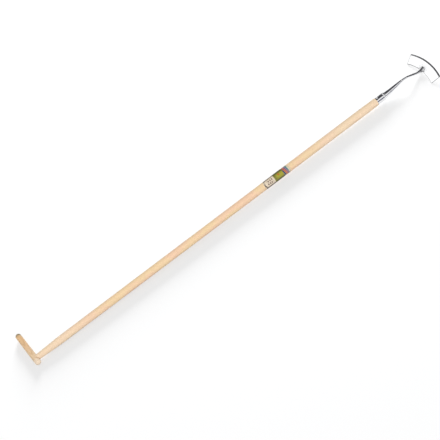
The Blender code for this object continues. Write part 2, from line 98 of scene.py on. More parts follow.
# The label, an adhesive sheet that faces up and to -Y.
LABEL_CENTRE = 0.997
LABEL_LENGTH = 0.107
LABEL_THICKNESS = 0.00016
LABEL_WRAP = math.radians(82)
LABEL_FACING = math.radians(49)
LABEL_END_LENGTH = 0.010
PRINT_END_LENGTH = 0.014
LABEL_CREASE = 0.00006
LABEL_CREASES_ALONG = 90
LABEL_CREASES_ACROSS = 3
LABEL_SEED = 4.0

# The head's sheet metal, with distances from the ferrule's rear edge.
SHEET = 0.0012
FERRULE_RADIUS = 0.0134
FERRULE_LENGTH = 0.037
FERRULE_BEAD_LENGTH = 0.0080
FERRULE_BEAD_RISE = 0.0005
FERRULE_EDGE_ROUND = 0.0003
BARREL_CLEARANCE = 0.0004
SKIRT_SETBACK = 0.0015
SKIRT_RADIUS = FERRULE_RADIUS - SHEET - JOINT_GAP
CONE_BASE_RADIUS = 0.0112
CONE_BELLY = 0.0005
SOCKET_LENGTH = 0.1120
SOCKET_TIP_RADIUS = 0.0052
RIVET_RADIUS = 0.0016
RIVET_HEAD_RADIUS = 0.0028
RIVET_HEAD_RISE = 0.0011
RIVET_FLATNESS = 0.8
RIVET_SETBACK = 0.0068

# The neck rod's route: straight stretches between corners, each turned on its own radius.
NECK_RADIUS = 0.0040
NECK_INSIDE = 0.022
NECK_NOSE_LENGTH = 0.0035
NECK_LAST_RING = 0.9997
SOCKET_BEND_START = 0.058
CREST_DISTANCE = 0.128
CREST_RISE = 0.0100
FOOT_RUN = 0.0333
FOOT_TIP_BACK = 0.0085
SOCKET_BEND_RADIUS = 0.150
CREST_BEND_RADIUS = 0.070
TROUGH_BEND_RADIUS = 0.026
ROUTE_LEAD = 0.020

# The forged foot on the blade, its distances back from the blade's front chord.
FOOT_LIFT = 0.0003
FLARE_THICKNESS = 0.0024
FLARE_HALF_WIDTH = 0.0122
FLARE_END_HALF_WIDTH = 0.0032
FLARE_REAR_BACK = 0.0300
FLARE_WIDE_BACK = 0.0215
FLARE_FRONT_BACK = 0.0105
FLARE_GROWTH_LENGTH = 0.004
FLARE_FIRST_SHARE = 0.3

# How square the foot's section is, how sharply the rod meets it, and how low its centre may lie.
FLARE_SQUARENESS = 3.5
ROD_MERGE_POWER = 10
DEEPEST_CENTRE = 0.8

# The weld beads, on the foot's front edges and round the rod at the socket.
BEAD_RADIUS = 0.0008
BEAD_SETBACK = 0.0010
BEAD_START_SHARE = 0.96
BEAD_RIPPLE = 0.12
BEAD_RIPPLES = 9
RING_BEAD_RADIUS = 0.0009
RING_RIPPLE = 0.06
RING_RIPPLES = 22

# The blade: a band of constant depth on one arc, pitched up against the shaft.
BLADE_WIDTH = 0.160
BLADE_RADIUS = 0.2325
BLADE_DEPTH = 0.038
BLADE_THICKNESS = 0.0020
BEVEL_WIDTH = 0.0055
EDGE_THICKNESS = 0.0004
BLADE_PITCH = math.radians(27)
BLADE_REACH = 0.2167
BLADE_DROP = 0.0008
BLADE_CORNER_ROUND = 0.0012
BLADE_RIM_ROUND = 0.00090
BLADE_EDGE_ROUND = 0.00015

# How far up a level face's normal points at least, and an upright one's at most.
LEVEL_SLOPE = 0.99
UPRIGHT_SLOPE = 0.1

# How finely the surfaces are cut.
ROUND_SIDES = 72
ROD_SIDES = 48
NECK_SIDES = 2 * ROD_SIDES
BEAD_SIDES = 20
SADDLE_SHARES = (0.05, 0.3, 0.55, 0.8, 0.95, 1.0)
SHAFT_RINGS = 260
GRIP_ARM_RINGS = 40
GRIP_DOME_RINGS = 16
LABEL_ROWS = 49
LABEL_STATIONS = 81
BARREL_RINGS = 12
LIP_RINGS = 20
CONE_RINGS = 60
RIVET_RINGS = 14
NECK_ROD_RINGS = 90
NECK_FOOT_RINGS = 70
RINGS_PER_BEAD_RIPPLE = 12
RINGS_PER_RING_RIPPLE = 8
BLADE_SECTIONS = 81
ROUNDING_STEPS = 4
DOME_TOP_DEGREES = 3
BEND_STEP = math.radians(1)

# Where neighbouring faces meet at more than this many degrees, the edge stays sharp.
SHARP_TURNING = 35
SHARP_ROD = 50
SHARP_BEAD = 60
SHARP_BLADE = 12

# The wood's colours: its light and warm ground, its dark grain lines, its pores and its marks.
SHAFT_LIGHT = (0.93, 0.70, 0.42)
SHAFT_WARM = (0.95, 0.65, 0.45)
SHAFT_DARK = (0.78, 0.53, 0.31)
GRIP_LIGHT = (0.85, 0.59, 0.305)
GRIP_WARM = (0.86, 0.555, 0.295)
GRIP_DARK = (0.62, 0.385, 0.19)
PORE_BROWN = (0.38, 0.22, 0.10)
# The joint line's brown, partly glue and partly painted shade.
GLUE_AND_SHADE_BROWN = (0.30, 0.13, 0.045)
GREY_WEAR = (0.20, 0.19, 0.13)
PALE_WOOD = (0.96, 0.77, 0.56)
PALE_STUB = (0.97, 0.83, 0.67)

# The wood's grain. Each pair of scales is the one along the grain and the one across it, per metre.
PITH_OFFSET = (0, 0.052, 0.031)
GRAIN_TILT = {
    "X": (0, math.radians(1.3), math.radians(1.9)),
    "Y": (math.radians(3.0), 0, math.radians(4.0)),
}
RING_STRETCH = (0.03, 1)
RING_SCALE = 118.0
FIBRE_SCALES = (22, 1500)
PORE_SCALES = (130, 3000)
CLOUD_SCALES = (15, 38)
PORE_DEPTH = 0.00012

# Marks on the wood. Each pair is where a mark is absent and where it is full.
REAR_PALING = (0.32, 0.08)
FRONT_PALING = (1.05, 1.30)
GRIP_PALING = (0.100, -0.005)
STUB_PALING = (-0.002, -0.018)
STAIN_EDGE = (GRIP_LONG_ARM - 0.0135, GRIP_LONG_ARM - 0.0085)
# The joint lines are partly glue and partly painted shade; the last pair keeps them to the -Y side.
SADDLE_GLUE_AND_SHADE = (GRIP_RADIUS + 0.0020, GRIP_RADIUS + 0.0008)
SEAM_GLUE_AND_SHADE = (SHAFT_GRIP_RADIUS - 0.0004, SHAFT_GRIP_RADIUS + 0.0009)
SHADED_JOINT_SIDE = (0.001, -0.007)

# The steel: its colours, its satin places, the foot's darker places and the blade rim's painted shade.
POLISHED = (0.92, 0.925, 0.94)
ROD_GREY = (0.86, 0.865, 0.88)
BLADE_GREY = (0.92, 0.925, 0.935)
RIVET_GREY = (0.92, 0.92, 0.92)
# The dark colour painted on the steel: painted shade on the blade's rim, and the foot's darker places.
DARK_SHADE_AND_TONE = (0.06, 0.061, 0.064)
SATIN_AMOUNT = 0.6
WING_SATIN = 0.85
BEAD_SATIN_REAR = (-0.0010, 0)
BEAD_SATIN_FRONT = (0.0045, 0.0035)
FOOT_SATIN_FADE = 0.002
ZONE_HALF_LENGTH = 0.016
ZONE_HALF_WIDTH = 0.020
# How much darker the rod's end and the foot's -Y wing are, and where that fades in.
ROD_DARKENING = 0.6
ROD_DARKENING_FADE = (-0.014, -0.004)
WING_DARKENING = 0.75
WING_SLANT = 1.04
WING_DARKENING_FADE = (0.0052, 0.0042)
# The blade rim's painted shade: how strong, and how far from the rim it fades in.
RIM_SHADE_AMOUNT = 0.6
RIM_SHADE_FADE = (0.0024, 0.0018)

# The label's colours.
CREAM = (0.78, 0.665, 0.505)
PRINT_BROWN = (0.20, 0.12, 0.10)
# The label rim's printed brown, which painted shade deepens on its low side.
RIM_PRINT_AND_SHADE_BROWN = (0.095, 0.062, 0.052)
OLIVE = (0.23, 0.22, 0.032)
LIME = (0.40, 0.375, 0.030)
DEEP_OLIVE = (0.10, 0.095, 0.02)
ORANGE = (0.55, 0.125, 0.025)
TEAL = (0.06, 0.22, 0.27)
VIOLET = (0.30, 0.10, 0.22)
NAVY = (0.03, 0.05, 0.13)
PALE_FILM = (0.70, 0.60, 0.43)

# The label's layout, in shares of its length from the rear end.
BARS = (0.13, 0.34)
CREAM_END = 0.40
LOZENGE_CENTRE = 0.58
STRIPES_START = 0.74
STRIPES_LENGTH = 0.20
CLEAR_START = 0.93

# The camera: where it aims on the floor, how far off it is, and how it is turned.
CAMERA_TARGET = (-0.0641, -0.0130, 0.0)
CAMERA_DISTANCE = 5.0983
CAMERA_AZIMUTH = math.radians(14.171)
CAMERA_ELEVATION = math.radians(48.664)
CAMERA_ROLL = math.radians(-26.136)
CAMERA_LENS = 125.22
CAMERA_SENSOR = 36.0

# The studio. Each lamp has its place, size and watts: one lights the tool and one the floor.
FLOOR_SIZE = 14.0
FLOOR_COLOUR = (0.945, 0.95, 0.96)
FLOOR_WHITENESS = 0.64
ROOM_LEVEL = 0.53
FRONT_LAMP = ((-0.4, -2.1, 3.5), 2.2, 88)
FLOOR_LAMP = ((5.7, 8.6, 2.6), 3.8, 3050)

# The room that polished metal mirrors: dark, with a white front that holds a blue-grey card, a soft
# box over the blade, and low white strips behind and beside the tool. Each pair is where one fades in.
MIRROR_DARK = (0.066, 0.066, 0.074)
MIRROR_CARD = (0.07, 0.07, 0.12)
FRONT_LEFT = (0.08, 0.16)
FRONT_RIGHT = (0.60, 0.50)
FRONT_BACK = (-0.27, -0.40)
FRONT_LOW = (0.12, 0.20)
CARD_LEFT = (0.19, 0.24)
CARD_RIGHT = (0.44, 0.38)
CARD_TOP = (0.62, 0.55)
STRIP_FRONT = (0.15, 0.35)
STRIP_TOP = (0.16, 0.08)
SIDE_LEFT = (0.85, 0.93)
SOFT_BOX = (-0.45, 0.59, 0.67)
SOFT_BOX_EDGE = (math.cos(math.radians(25)), math.cos(math.radians(19)))
SOFT_BOX_WHITE = (1.2, 1.2, 1.2)


def eased(t):
    return 0.5 - 0.5 * math.cos(math.pi * t)


def mixed(low, high, t):
    return low + (high - low) * t


def share(value, start, end):
    """How far a value has come from start to end, as 0 to 1."""
    return min(1, max(0, (value - start) / (end - start)))


def evenly(low, high, count):
    return [mixed(low, high, i / (count - 1)) for i in range(count)]


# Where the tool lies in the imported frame.


def middle(node):
    """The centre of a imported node's box."""
    low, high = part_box(node)
    return (low + high) / 2


def crossing():
    """The crossing of the shaft's and the grip's axes."""
    grip = middle("grip")
    return Vector((grip.x, middle("ferrule").y, grip.z))


def tool_matrix():
    """From the tool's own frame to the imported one: the shaft's line is tipped about Y."""
    along = middle("ferrule") - crossing()
    return Matrix.Translation(crossing()) @ Matrix.Rotation(-math.atan2(along.z, along.x), 4, "Y")


TOOL = tool_matrix()
SHAFT_REACH = (middle("ferrule") - crossing()).length - FERRULE_LENGTH / 2 - JOINT_GAP


# Mesh building.


def new_object(name, data):
    obj = bpy.data.objects.new(name, data)
    bpy.context.scene.collection.objects.link(obj)
    return obj


def mesh_piece(mesh, matrix=Matrix.Identity(4)):
    """A piece named like its mesh, placed in the tool's frame. It rides on the one body."""
    mesh.transform(TOOL @ matrix)
    obj = new_object(mesh.name, mesh)
    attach(obj, "root")
    return obj


def stand_in(piece, node, slot, *finishes):
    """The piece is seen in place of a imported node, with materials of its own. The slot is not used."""
    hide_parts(node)
    for finish in finishes:
        piece.data.materials.append(finish)


def smooth(mesh, sharp=SHARP_TURNING):
    mesh.shade_smooth()
    mesh.set_sharp_from_angle(angle=math.radians(sharp))


def loft(name, rings, ends="capped", sharp=SHARP_TURNING):
    """A mesh through rings of points with its ends capped or joined, or a sheet with open ends."""
    mesh = bpy.data.meshes.new(name)
    work = bmesh.new()
    rows = [[work.verts.new(point) for point in ring] for ring in rings]
    following = rows[1:] + rows[:1] if ends == "joined" else rows[1:]
    for row, after in zip(rows, following):
        for i in range(1 if ends == "open" else 0, len(row)):
            work.faces.new((row[i - 1], row[i], after[i], after[i - 1]))
    if ends == "capped":
        work.faces.new(rows[0])
        work.faces.new(rows[-1][::-1])
    bmesh.ops.recalc_face_normals(work, faces=work.faces)
    work.to_mesh(mesh)
    work.free()
    smooth(mesh, sharp)
    return mesh


def circle(radius, sides):
    """Points (across, up) on a circle."""
    turn = 2 * math.pi / sides
    return [(radius * math.cos(turn * i), radius * math.sin(turn * i)) for i in range(sides)]


def lathed(axis, outline, sides=ROUND_SIDES):
    """Rings about an axis from (radius, distance along it) pairs."""
    rings = []
    for radius, distance in outline:
        ring = [list(point) for point in circle(radius, sides)]
        for point in ring:
            point.insert("XYZ".index(axis), distance)
        rings.append(ring)
    return rings


def rounded(corner, before, after, radius):
    """Points that round off an outline's corner."""
    corner, before, after = Vector(corner), Vector(before), Vector(after)
    start = corner + (before - corner).normalized() * radius
    end = corner + (after - corner).normalized() * radius
    arc = []
    for t in evenly(0, 1, ROUNDING_STEPS + 1):
        arc.append(tuple(start.lerp(corner, t).lerp(corner.lerp(end, t), t)))
    return arc


def cut(obj, cutter):
    """Takes the cutter's volume out of a piece, and removes the cutter."""
    step = obj.modifiers.new("cut", "BOOLEAN")
    step.operation = "DIFFERENCE"
    step.solver = "EXACT"
    step.object = cutter
    graph = bpy.context.evaluated_depsgraph_get()
    mesh = bpy.data.meshes.new_from_object(obj.evaluated_get(graph))
    mesh.materials.clear()
    obj.modifiers.clear()
    obj.data = mesh
    bpy.data.objects.remove(cutter, do_unlink=True)
    smooth(mesh)


# The route of the head, in the tool's XZ plane from the ferrule's rear edge.


BLADE_ALONG = Vector((math.cos(BLADE_PITCH), math.sin(BLADE_PITCH)))
BLADE_UP = Vector((-math.sin(BLADE_PITCH), math.cos(BLADE_PITCH)))


def on_blade(forward, height):
    """The point this far ahead of the blade's front chord and above its top face."""
    return Vector((BLADE_REACH, -BLADE_DROP)) + BLADE_ALONG * forward + BLADE_UP * height


def blade_place(forward, height):
    """The matrix of a piece that lies in the blade's plane."""
    point = on_blade(forward, height)
    place = Matrix.Translation((SHAFT_REACH + point.x, 0, point.y))
    return place @ Matrix.Rotation(-BLADE_PITCH, 4, "Y")


# Half the angle of the blade's arc, the place of its centre, and the x where the foot starts.
BLADE_HALF_ANGLE = math.asin(BLADE_WIDTH / 2 / BLADE_RADIUS)
ARC_PLACE = blade_place(-BLADE_RADIUS * math.cos(BLADE_HALF_ANGLE), 0)
FOOT_START = SHAFT_REACH + on_blade(-FLARE_REAR_BACK, 0).x


def bent_route(corners, bends):
    """Points along a straight bar that turns each inner corner on its bend radius."""
    points = [corners[0]]
    for before, corner, after, radius in zip(corners, corners[1:], corners[2:], bends):
        into = (corner - before).normalized()
        out = (after - corner).normalized()
        turn = math.atan2(into.x * out.y - into.y * out.x, into.dot(out))
        start = corner - into * radius * math.tan(abs(turn) / 2)
        centre = start + Vector((-into.y, into.x)) * math.copysign(radius, turn)
        steps = math.ceil(abs(turn) / BEND_STEP)
        for angle in evenly(0, turn, steps + 1):
            points.append(centre + Matrix.Rotation(angle, 2) @ (start - centre))
    return points + [corners[-1]]


FOOT_HEIGHT = FOOT_LIFT * 2 + NECK_RADIUS
HEAD_ROUTE = bent_route(
    [
        Vector((-ROUTE_LEAD, 0)),
        Vector((SOCKET_BEND_START, 0)),
        Vector((CREST_DISTANCE, CREST_RISE)),
        on_blade(-FOOT_RUN, FOOT_HEIGHT),
        on_blade(-FOOT_TIP_BACK, FOOT_HEIGHT),
    ],
    [SOCKET_BEND_RADIUS, CREST_BEND_RADIUS, TROUGH_BEND_RADIUS],
)
HEAD_ROUTE_LENGTH = sum((b - a).length for a, b in zip(HEAD_ROUTE, HEAD_ROUTE[1:])) - ROUTE_LEAD


def route_at(distance):
    """The route's point this far from the ferrule's rear edge, and its direction there."""
    left = distance + ROUTE_LEAD
    for a, b in zip(HEAD_ROUTE, HEAD_ROUTE[1:]):
        step = (b - a).length
        if left <= step or b is HEAD_ROUTE[-1]:
            return a + (b - a) * (left / step), (b - a).normalized()
        left -= step


def route_ring(distance, section):
    """A section, as (across, up) points, set square on the route."""
    point, direction = route_at(distance)
    ring = []
    for across, up in section:
        spot = point + Vector((-direction.y, direction.x)) * up
        ring.append((SHAFT_REACH + spot.x, across, spot.y))
    return ring


# The wooden pieces.


def shaft_radius(distance):
    """The shaft's radius this far from the grip's axis."""
    taper_start = SHAFT_REACH - HEAD_TAPER_LENGTH
    if distance < GRIP_TAPER_LENGTH:
        t = share(distance, 0, GRIP_TAPER_LENGTH)
        return mixed(SHAFT_GRIP_RADIUS, SHAFT_REAR_RADIUS, eased(t))
    if distance < taper_start:
        t = share(distance, GRIP_TAPER_LENGTH, taper_start)
        return mixed(SHAFT_REAR_RADIUS, SHAFT_FRONT_RADIUS, t)
    t = share(distance, taper_start, SHAFT_REACH)
    return mixed(SHAFT_FRONT_RADIUS, SHAFT_SHOULDER_RADIUS, eased(t))


def wood_ring(x, radius):
    """A ring of the shaft, with its turning waves."""
    ring = []
    for across, up in circle(1, ROUND_SIDES):
        place = (x * TURNING_WAVES_ALONG, across * TURNING_WAVES_ROUND, up * TURNING_WAVES_ROUND)
        wave = noise.noise(Vector(place))
        reach = radius - TURNING_WAVE * (0.5 + 0.5 * wave)
        ring.append((x, across * reach, up * reach))
    return ring


def saddle_ring(radius):
    """A ring on the hollow that fits the shaft's end to the round grip."""
    hollow = GRIP_RADIUS + JOINT_GAP
    return [(math.sqrt(hollow**2 - up**2), across, up) for across, up in circle(radius, ROUND_SIDES)]


def make_shaft(wood):
    """The pole, from the saddle that meets the grip to a stub of its spigot inside the socket."""
    saddle = [saddle_ring(SHAFT_GRIP_RADIUS * part) for part in SADDLE_SHARES]
    start = GRIP_RADIUS + JOINT_GAP
    body_end = SHAFT_REACH - SHAFT_EDGE_ROUND
    body = [wood_ring(x, shaft_radius(x)) for x in evenly(start, body_end, SHAFT_RINGS)]
    corner = (SHAFT_SHOULDER_RADIUS, SHAFT_REACH)
    shoulder = rounded(corner, (SHAFT_SHOULDER_RADIUS, 0), (0, SHAFT_REACH), SHAFT_EDGE_ROUND)
    spigot = [(SPIGOT_RADIUS, SHAFT_REACH), (SPIGOT_RADIUS, SHAFT_REACH + SPIGOT_STUB_LENGTH)]
    rings = saddle + body + lathed("X", shoulder[1:] + spigot)
    stand_in(mesh_piece(loft("shaft_fine", rings)), "shaft", "ash_shaft", wood)


def grip_outline():
    """(radius, distance along +Y) pairs from the short arm's end to the long arm's."""
    short = -GRIP_SHORT_ARM + GRIP_DOME_LENGTH
    long = GRIP_LONG_ARM - GRIP_DOME_LENGTH
    angles = [math.radians(angle) for angle in evenly(DOME_TOP_DEGREES, 90, GRIP_DOME_RINGS)]
    stub = [(GRIP_RADIUS * math.sin(a), short - GRIP_DOME_LENGTH * math.cos(a)) for a in angles]
    tip = [(GRIP_TIP_RADIUS * math.sin(a), long + GRIP_DOME_LENGTH * math.cos(a)) for a in angles]
    arm = [
        (mixed(GRIP_RADIUS, GRIP_TIP_RADIUS, eased(t)), mixed(GRIP_RADIUS, long, t))
        for t in evenly(0, 1, GRIP_ARM_RINGS)
    ]
    return stub + [(GRIP_RADIUS, 0)] + arm + tip[::-1][1:]


def make_grip(wood):
    """The cross grip, with the nail's hole in its underside."""
    grip = mesh_piece(loft("grip_fine", lathed("Y", grip_outline())))
    bottom = -GRIP_RADIUS
    hole = [(NAIL_HOLE_RADIUS, bottom + NAIL_HOLE_DEPTH), (NAIL_HOLE_RADIUS, bottom - NAIL_HOLE_DEPTH)]
    place = Matrix.Translation((0, NAIL_OFFSET, 0))
    cut(grip, mesh_piece(loft("nail_hole", lathed("Z", hole, ROD_SIDES)), place))
    stand_in(grip, "grip", "ash_grip", wood)


def label_point(x, across):
    """A point of the label, across going from -1 on its low long edge to 1 on its high one."""
    angle = LABEL_FACING + LABEL_WRAP * across
    spot = Vector((x * LABEL_CREASES_ALONG, across * LABEL_CREASES_ACROSS, LABEL_SEED))
    crease = LABEL_CREASE * max(0, noise.noise(spot))
    radius = shaft_radius(x) + JOINT_GAP + LABEL_THICKNESS / 2 + crease
    return x, -radius * math.cos(angle), radius * math.sin(angle)


def make_label(print_finish):
    """A thin printed sheet bent over the shaft, with round ends and faint creases."""
    rows = []
    for across in evenly(-1, 1, LABEL_ROWS):
        half = LABEL_LENGTH / 2 - LABEL_END_LENGTH * (1 - math.sqrt(1 - across**2))
        stations = evenly(LABEL_CENTRE - half, LABEL_CENTRE + half, LABEL_STATIONS)
        rows.append([label_point(x, across) for x in stations])
    label = mesh_piece(loft("label_sheet", rows, ends="open"))
    sheet = label.modifiers.new("sheet", "SOLIDIFY")
    sheet.thickness = LABEL_THICKNESS
    sheet.offset = 0
    stand_in(label, "label", "label_sheet", print_finish)


# The metal pieces.


def ferrule_outline():
    """The collar's closed section as (radius, distance) pairs: outside, rolled lip, then inside."""
    bead_start = FERRULE_LENGTH - FERRULE_BEAD_LENGTH
    inner = FERRULE_RADIUS - SHEET
    rear = rounded((FERRULE_RADIUS, 0), (inner, 0), (FERRULE_RADIUS, bead_start), FERRULE_EDGE_ROUND)
    barrel_ends = (2 * FERRULE_EDGE_ROUND, bead_start - BARREL_CLEARANCE)
    barrel = [(FERRULE_RADIUS, distance) for distance in evenly(*barrel_ends, BARREL_RINGS)]
    bead = []
    for t in evenly(0, 1, LIP_RINGS):
        rise = FERRULE_BEAD_RISE * math.sin(math.pi * t) ** 2
        bead.append((FERRULE_RADIUS + rise, bead_start + t * FERRULE_BEAD_LENGTH / 2))
    lip_inner = CONE_BASE_RADIUS + JOINT_GAP
    lip = []
    for angle in evenly(math.pi / 2, 0, LIP_RINGS)[1:]:
        distance = bead_start + FERRULE_BEAD_LENGTH / 2 * (1 + math.cos(angle))
        lip.append((mixed(lip_inner, FERRULE_RADIUS, math.sin(angle)), distance))
    inside = [(lip_inner, FERRULE_LENGTH - SHEET / 2), (inner, bead_start), (inner, 0)]
    return [*rear, *barrel, *bead, *lip, *inside]


def make_ferrule(steel):
    """The collar round the shaft's end, with a rolled bead at its front."""
    place = Matrix.Translation((SHAFT_REACH + JOINT_GAP, 0, 0))
    mesh = loft("ferrule_fine", lathed("X", ferrule_outline()), ends="joined")
    stand_in(mesh_piece(mesh, place), "ferrule", "polished_stainless", steel)


def socket_radius(distance):
    """The socket's outer radius: a straight skirt under the ferrule, then a slightly bellied cone."""
    if distance <= FERRULE_LENGTH:
        t = share(distance, FERRULE_LENGTH - FERRULE_BEAD_LENGTH, FERRULE_LENGTH)
        return mixed(SKIRT_RADIUS, CONE_BASE_RADIUS, t)
    t = share(distance, FERRULE_LENGTH, SOCKET_LENGTH)
    return mixed(CONE_BASE_RADIUS, SOCKET_TIP_RADIUS, t) + CONE_BELLY * math.sin(math.pi * t)


def socket_bore(distance):
    """The socket's inner radius, which leaves room for the rod."""
    return max(socket_radius(distance) - SHEET, NECK_RADIUS + JOINT_GAP / 2)


def make_socket(steel):
    """The skirt under the ferrule and the cone that follows the head's bend."""
    skirt = [SKIRT_SETBACK, FERRULE_LENGTH - FERRULE_BEAD_LENGTH]
    stations = skirt + evenly(FERRULE_LENGTH, SOCKET_LENGTH, CONE_RINGS)
    outside = [route_ring(d, circle(socket_radius(d), ROUND_SIDES)) for d in stations]
    inside = [route_ring(d, circle(socket_bore(d), ROUND_SIDES)) for d in stations[::-1]]
    mesh = loft("socket_fine", outside + inside, ends="joined")
    stand_in(mesh_piece(mesh), "socket", "polished_stainless", steel)


def make_rivet(steel):
    """A pin with a domed head at each end, the tops slightly flattened by the hammer."""
    seat = FERRULE_RADIUS + JOINT_GAP
    upper = []
    for degrees in evenly(DOME_TOP_DEGREES, 90, RIVET_RINGS):
        angle = math.radians(degrees)
        rise = RIVET_HEAD_RISE * math.cos(angle) ** RIVET_FLATNESS
        upper.append((RIVET_HEAD_RADIUS * math.sin(angle), seat + rise))
    lower = [(radius, -height) for radius, height in reversed(upper)]
    outline = [*upper, (RIVET_RADIUS, seat), (RIVET_RADIUS, -seat), *lower]
    place = Matrix.Translation((SHAFT_REACH + RIVET_SETBACK, 0, 0))
    mesh = loft("rivet_fine", lathed("Z", outline, ROD_SIDES))
    stand_in(mesh_piece(mesh, place), "ferrule_rivet", "rivet_steel", steel)


def flare_half_width(back):
    """The foot's half width this far behind the blade's front chord."""
    end = FLARE_REAR_BACK if back > FLARE_WIDE_BACK else FLARE_FRONT_BACK
    t = share(back, end, FLARE_WIDE_BACK)
    blunt = mixed(t, 1 - (1 - t) ** 2, 0.5)
    return mixed(FLARE_END_HALF_WIDTH, FLARE_HALF_WIDTH, mixed(t, blunt, t**3))


def slab_reach(aim, half_width):
    """How far the rounded foot's edge lies from its centre in one direction."""
    across = (abs(aim.x) / half_width) ** FLARE_SQUARENESS
    up = (abs(aim.y) / (FLARE_THICKNESS / 2)) ** FLARE_SQUARENESS
    return (across + up) ** (-1 / FLARE_SQUARENESS)


def round_reach(aim, depth, radius):
    """How far the rod's surface lies in one direction from a point this far below its axis."""
    nearest = depth * aim.y
    return nearest + math.sqrt(nearest**2 - depth**2 + radius**2)


def foot_section(distance, radius, half_width):
    """The rod merged with the flared foot below it, as (across, up) points about the rod's axis."""
    point, direction = route_at(distance)
    normal = Vector((-direction.y, direction.x))
    height = (point - on_blade(0, FOOT_LIFT)).dot(BLADE_UP) / normal.dot(BLADE_UP)
    depth = min(height - FLARE_THICKNESS / 2, radius * DEEPEST_CENTRE)
    section = []
    for x, z in circle(1, NECK_SIDES):
        aim = Vector((x * max(half_width, radius), z * radius)).normalized()
        slab = slab_reach(aim, half_width)
        rod = round_reach(aim, depth, radius)
        reach = (slab**ROD_MERGE_POWER + rod**ROD_MERGE_POWER) ** (1 / ROD_MERGE_POWER)
        section.append((aim.x * reach, aim.y * reach - depth))
    return section


def neck_section(distance):
    """The rod's section: round, then flared where it lies on the blade, then a blunt nose."""
    nose = math.sqrt(1 - share(distance, HEAD_ROUTE_LENGTH - NECK_NOSE_LENGTH, HEAD_ROUTE_LENGTH) ** 2)
    point, _ = route_at(distance)
    back = -(point - on_blade(0, 0)).dot(BLADE_ALONG)
    flare_start = FLARE_REAR_BACK + FLARE_GROWTH_LENGTH
    if back > flare_start:
        return circle(NECK_RADIUS * nose, NECK_SIDES)
    growth = mixed(FLARE_FIRST_SHARE, 1, share(back, flare_start, FLARE_REAR_BACK))
    return foot_section(distance, NECK_RADIUS * nose, flare_half_width(back) * growth * nose)


def make_neck(steel):
    """The swan-bent rod, from inside the socket to the nose of its foot on the blade."""
    foot_start = HEAD_ROUTE_LENGTH - FLARE_REAR_BACK
    stations = evenly(SOCKET_LENGTH - NECK_INSIDE, foot_start, NECK_ROD_RINGS)[:-1]
    stations += evenly(foot_start, HEAD_ROUTE_LENGTH * NECK_LAST_RING, NECK_FOOT_RINGS)
    rings = [route_ring(distance, neck_section(distance)) for distance in stations]
    mesh = loft("neck_fine", rings, sharp=SHARP_ROD)
    stand_in(mesh_piece(mesh), "neck", "polished_stainless", steel)


def make_blade_weld(name, side, weld):
    """A rippled bead in the corner between the blade and the foot's front edge, on one side."""
    wide = Vector((-FLARE_WIDE_BACK + BEAD_SETBACK, FLARE_HALF_WIDTH * BEAD_START_SHARE))
    front = Vector((-FLARE_FRONT_BACK, FLARE_END_HALF_WIDTH))
    along = (front - wide).normalized()
    outward = Vector((-along.y, along.x))
    reach = BEAD_RADIUS * (1 + BEAD_RIPPLE) + JOINT_GAP
    rings = []
    for t in evenly(0, 1, BEAD_RIPPLES * RINGS_PER_BEAD_RIPPLE + 1):
        spot = wide.lerp(front, t) + outward * reach
        end = math.sqrt(max(0.02, 1 - abs(2 * t - 1) ** 6))
        ripple = 1 + BEAD_RIPPLE * abs(math.cos(math.pi * BEAD_RIPPLES * t))
        ring = []
        for across, up in circle(BEAD_RADIUS * end * ripple, BEAD_SIDES):
            ring.append((spot.x + outward.x * across, side * (spot.y + outward.y * across), up))
        rings.append(ring)
    mesh = loft(name + "_fine", rings, sharp=SHARP_BEAD)
    stand_in(mesh_piece(mesh, blade_place(0, reach)), name, "weld_steel", weld)


def make_socket_weld(weld):
    """The rippled ring of weld round the rod, against the small end of the socket."""
    distance = SOCKET_LENGTH + JOINT_GAP + RING_BEAD_RADIUS
    point, direction = route_at(distance)
    pitch = math.atan2(direction.y, direction.x)
    inner = NECK_RADIUS + JOINT_GAP / 2
    rings = []
    for turn in evenly(0, 2 * math.pi, RING_RIPPLES * RINGS_PER_RING_RIPPLE + 1)[:-1]:
        radius = RING_BEAD_RADIUS * (1 - RING_RIPPLE + RING_RIPPLE * math.cos(RING_RIPPLES * turn))
        ring = []
        for along, out in circle(radius, BEAD_SIDES):
            reach = inner + radius + out
            ring.append((along, reach * math.cos(turn), reach * math.sin(turn)))
        rings.append(ring)
    place = Matrix.Translation((SHAFT_REACH + point.x, 0, point.y)) @ Matrix.Rotation(-pitch, 4, "Y")
    mesh = loft("socket_weld_fine", rings, ends="joined", sharp=SHARP_BEAD)
    stand_in(mesh_piece(mesh, place), "socket_weld", "weld_steel", weld)


def blade_band():
    """The plain band, with a bevel ground on top of its front edge, swept along the blade's arc."""
    back = BLADE_RADIUS - BLADE_DEPTH
    section = [
        (back, 0),
        (BLADE_RADIUS - BEVEL_WIDTH, 0),
        (BLADE_RADIUS, EDGE_THICKNESS - BLADE_THICKNESS),
        (BLADE_RADIUS, -BLADE_THICKNESS),
        (back, -BLADE_THICKNESS),
    ]
    rings = []
    for angle in evenly(-BLADE_HALF_ANGLE, BLADE_HALF_ANGLE, BLADE_SECTIONS):
        rings.append([(r * math.cos(angle), r * math.sin(angle), height) for r, height in section])
    return loft("blade_fine", rings)


def upright_corners(work):
    """The upright edges at the blade's two ends."""
    corners = []
    for edge in work.edges:
        a, b = edge.verts
        upright = (a.co - b.co).to_2d().length < 1e-6
        if upright and abs(abs(math.atan2(a.co.y, a.co.x)) - BLADE_HALF_ANGLE) < 1e-4:
            corners.append(edge)
    return corners


def upper_rim(work):
    """The upper edges of the blade's back and ends."""
    rim = []
    for edge in work.edges:
        slopes = [face.normal.z for face in edge.link_faces]
        if max(slopes) > LEVEL_SLOPE and abs(min(slopes)) < UPRIGHT_SLOPE:
            rim.append(edge)
    return rim


def ease(work, edges, offset):
    """Rounds these edges off."""
    bmesh.ops.bevel(
        work, geom=edges, offset=offset, segments=ROUNDING_STEPS, profile=0.5, affect="EDGES"
    )
    work.normal_update()


